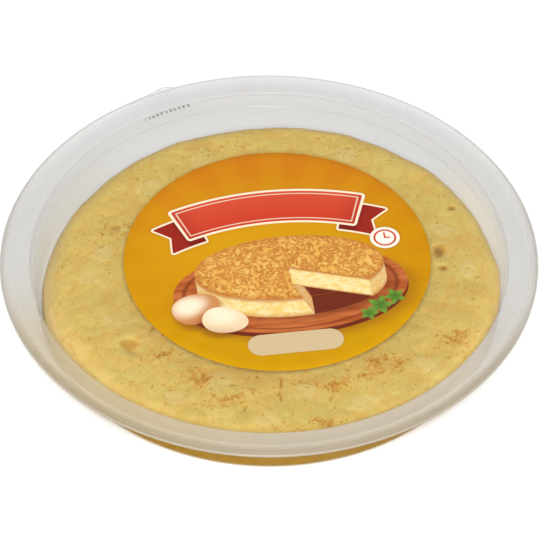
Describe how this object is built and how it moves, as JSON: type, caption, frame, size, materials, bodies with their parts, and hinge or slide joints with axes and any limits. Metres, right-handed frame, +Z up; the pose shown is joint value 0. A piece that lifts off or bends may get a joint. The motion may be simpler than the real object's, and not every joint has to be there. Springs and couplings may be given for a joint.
{
  "type": "sealed round potato omelette in a plastic tray",
  "caption": "Round potato omelette in a shallow frosted plastic tray with a wide flange, sealed with a clear film that has a pull tab and a round label.",
  "frame": {"origin": "middle of the tray's flat base, on the surface it stands on", "axes": "+Z up through the film lid; +Y towards the side with the pull tab; the picture looks along +Y from above"},
  "size_m": [0.2156, 0.2156, 0.0287],
  "materials": {
    "tray_plastic": "frosted translucent polypropylene",
    "omelette_egg": "soft cooked egg and potato, slightly moist",
    "lid_film": "clear glossy film",
    "label_print": "satin printed label"
  },
  "bodies": {
    "root": {"tray": "tray_plastic", "omelette": "omelette_egg", "lid_film": "lid_film", "label": "label_print"}
  },
  "joints": []
}
